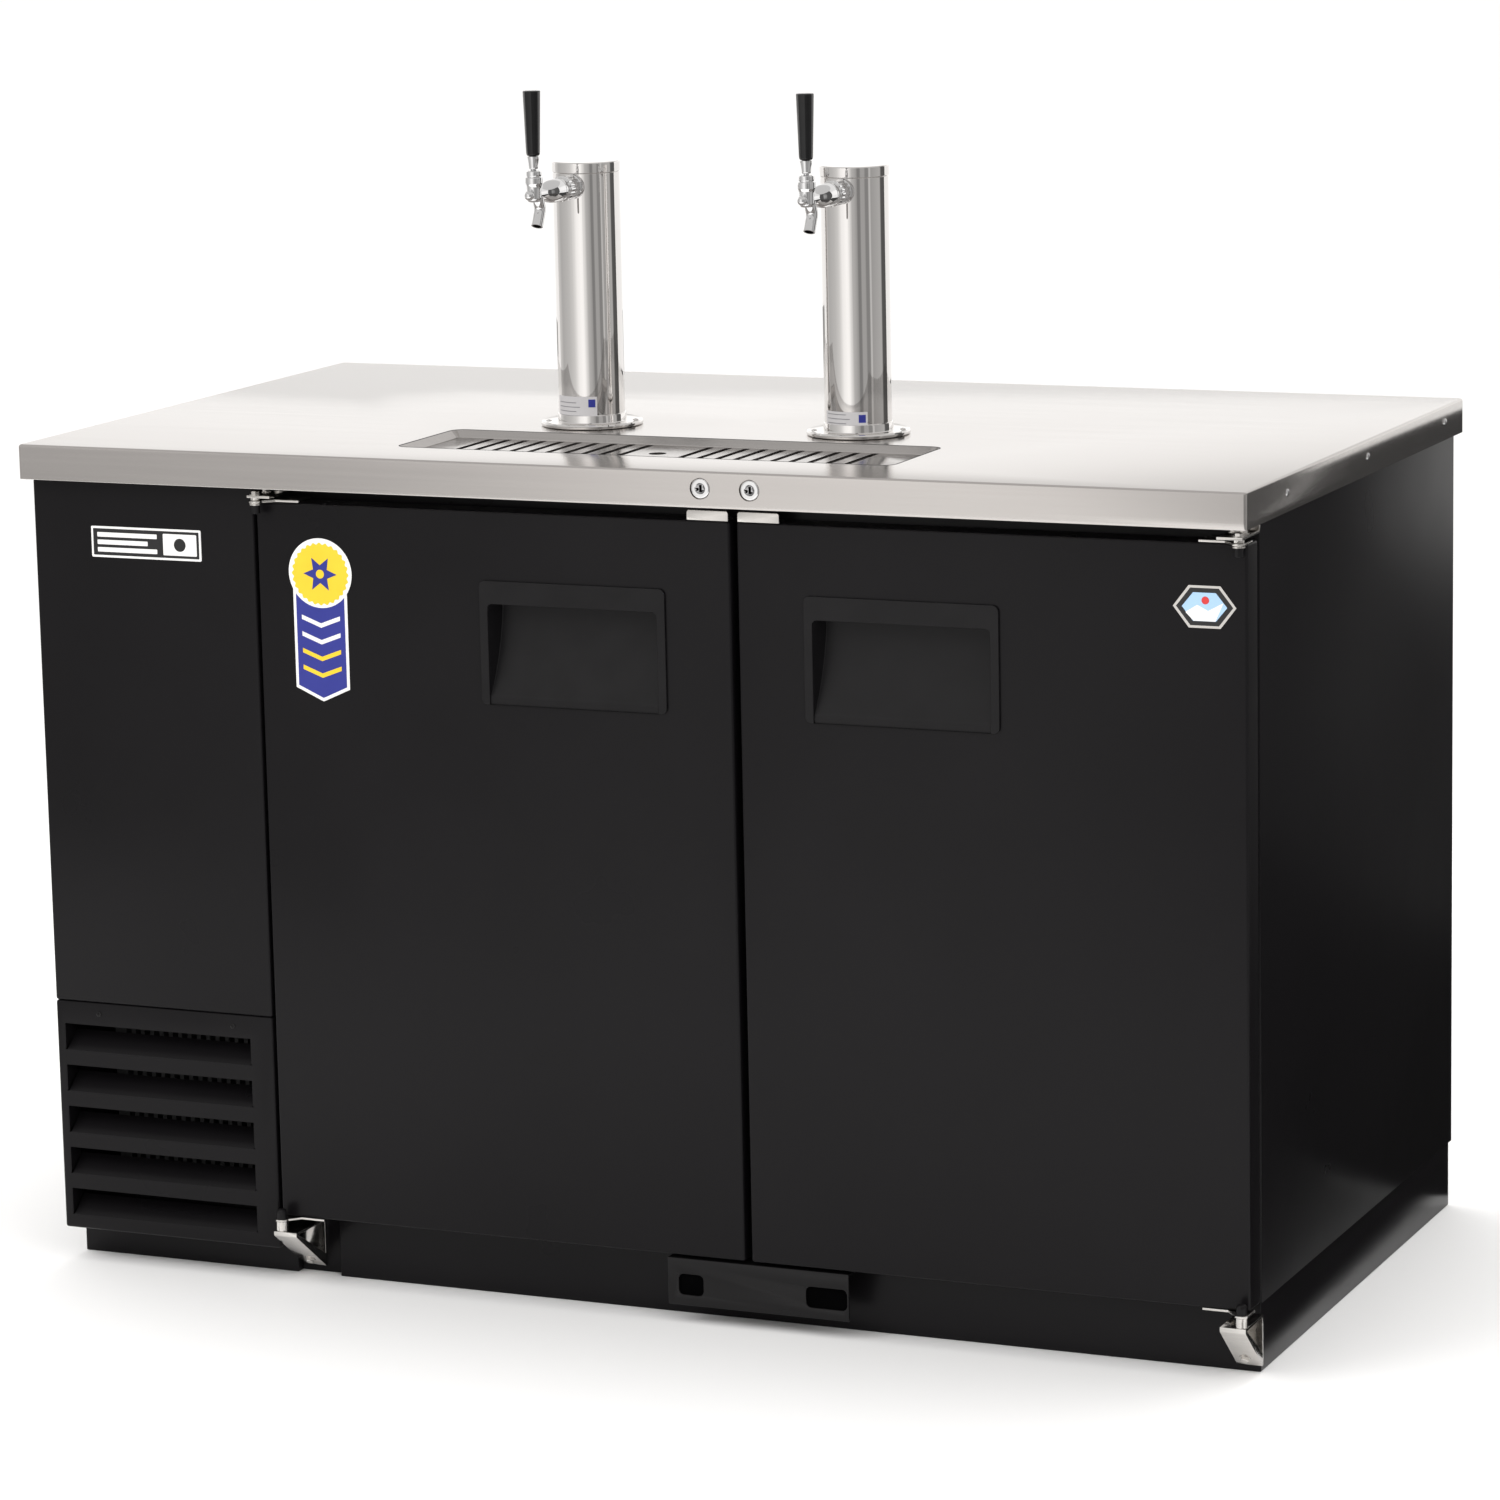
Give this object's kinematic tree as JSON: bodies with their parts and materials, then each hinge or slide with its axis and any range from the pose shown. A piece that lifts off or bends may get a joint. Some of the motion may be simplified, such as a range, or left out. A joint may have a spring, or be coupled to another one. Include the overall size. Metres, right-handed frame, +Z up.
{
  "type": "kegerator",
  "caption": "Back-bar keg cooler with swing doors, louvred compressor bay, stainless worktop with slotted drip tray, and draft towers with black-handled faucets.",
  "frame": {"origin": "on the floor under the middle of the worktop, which is the middle of the bounding box", "axes": "+X along the worktop to the right as seen from the front, +Y to the back, +Z up"},
  "size_m": [1.467, 0.8, 1.357],
  "materials": {
    "black_paint": "satin",
    "black_plastic": "satin",
    "rubber": "matte",
    "stainless": "brushed",
    "polished": "polished",
    "chrome": "polished",
    "nickel": "bright",
    "liner": "satin",
    "galvanised": "dull",
    "fin_stock": "satin",
    "hose": "clear"
  },
  "bodies": {
    "cabinet": {"base_frame": "black_paint", "cabinet_shell": "black_paint", "cabinet_liner": "liner", "keg_floor_plate": "stainless", "bay_cover": "black_paint", "louvre_panel": "black_paint", "rear_cover": "black_paint", "mains_inlet": "rubber", "compressor": "black_paint", "control_box": "galvanised", "condenser_coil": "fin_stock", "condenser_fan_motor": "galvanised", "evaporator_coil": "fin_stock", "evaporator_fan_motor": "galvanised", "worktop": "stainless", "drip_pan": "stainless", "centre_bracket": "black_paint", "left_lock_barrel": "chrome", "left_top_hinge_bracket": "nickel", "left_bottom_hinge_bracket": "nickel", "left_column": "polished", "left_column_cap": "polished", "left_shank": "chrome", "left_coupling_nut": "chrome", "left_faucet_body": "chrome", "left_beer_line": "hose", "right_lock_barrel": "chrome", "right_top_hinge_bracket": "nickel", "right_bottom_hinge_bracket": "nickel", "right_column": "polished", "right_column_cap": "polished", "right_shank": "chrome", "right_coupling_nut": "chrome", "right_faucet_body": "chrome", "right_beer_line": "hose"},
    "condenser_fan": {"condenser_fan_blade": "black_plastic"},
    "evaporator_fan": {"evaporator_fan_blade": "black_plastic"},
    "grate": {"drip_grate": "stainless"},
    "left_door": {"left_door_pan": "black_paint", "left_door_inner_panel": "liner", "left_door_gasket": "rubber", "left_pull_handle": "black_plastic", "left_top_hinge_plate": "nickel", "left_bottom_hinge_plate": "nickel", "left_strike_plate": "nickel"},
    "left_tap": {"left_tap_lever": "chrome", "left_tap_handle": "black_plastic"},
    "left_valve": {"left_valve_shaft": "stainless"},
    "left_lock": {"left_lock_plug": "chrome"},
    "right_door": {"right_door_pan": "black_paint", "right_door_inner_panel": "liner", "right_door_gasket": "rubber", "right_pull_handle": "black_plastic", "right_top_hinge_plate": "nickel", "right_bottom_hinge_plate": "nickel", "right_strike_plate": "nickel"},
    "right_tap": {"right_tap_lever": "chrome", "right_tap_handle": "black_plastic"},
    "right_valve": {"right_valve_shaft": "stainless"},
    "right_lock": {"right_lock_plug": "chrome"}
  },
  "joints": [
    {"name": "left_door_swing", "type": "hinge", "parent": "cabinet", "child": "left_door", "pos_m": [-0.434, -0.391, 0.079], "axis": [0, 0, -1], "range_deg": [0, 120]},
    {"name": "left_tap_pull", "type": "hinge", "parent": "cabinet", "child": "left_tap", "pos_m": [-0.1655, -0.208, 1.264], "axis": [1, 0, 0], "range_deg": [0, 20]},
    {"name": "left_valve_slide", "type": "slide", "parent": "cabinet", "child": "left_valve", "axis": [0, 1, 0], "range_m": [0, 0.0079]},
    {"name": "left_lock_turn", "type": "hinge", "parent": "cabinet", "child": "left_lock", "pos_m": [0.115, -0.4, 0.946], "axis": [0, 1, 0], "range_deg": [0, 90]},
    {"name": "right_door_swing", "type": "hinge", "parent": "cabinet", "child": "right_door", "pos_m": [0.722, -0.391, 0.079], "axis": [0, 0, 1], "range_deg": [0, 120]},
    {"name": "right_tap_pull", "type": "hinge", "parent": "cabinet", "child": "right_tap", "pos_m": [0.1655, -0.208, 1.264], "axis": [1, 0, 0], "range_deg": [0, 20]},
    {"name": "right_valve_slide", "type": "slide", "parent": "cabinet", "child": "right_valve", "axis": [0, 1, 0], "range_m": [0, 0.0079]},
    {"name": "right_lock_turn", "type": "hinge", "parent": "cabinet", "child": "right_lock", "pos_m": [0.173, -0.4, 0.946], "axis": [0, 1, 0], "range_deg": [0, 90]},
    {"name": "condenser_fan_spin", "type": "hinge", "parent": "cabinet", "child": "condenser_fan", "pos_m": [-0.58575, -0.2312, 0.1938], "axis": [0, 1, 0], "continuous": true},
    {"name": "evaporator_fan_spin", "type": "hinge", "parent": "cabinet", "child": "evaporator_fan", "pos_m": [-0.3091, 0.06, 0.723], "axis": [1, 0, 0], "continuous": true},
    {"name": "grate_lift", "type": "slide", "parent": "cabinet", "child": "grate", "axis": [0, 0, 1], "range_m": [0, 0.06]}
  ],
  "couplings": [
    {"joint": "left_valve_slide", "follows": "left_tap_pull", "m_per_rad": 0.0225},
    {"joint": "right_valve_slide", "follows": "right_tap_pull", "m_per_rad": 0.0225}
  ]
}
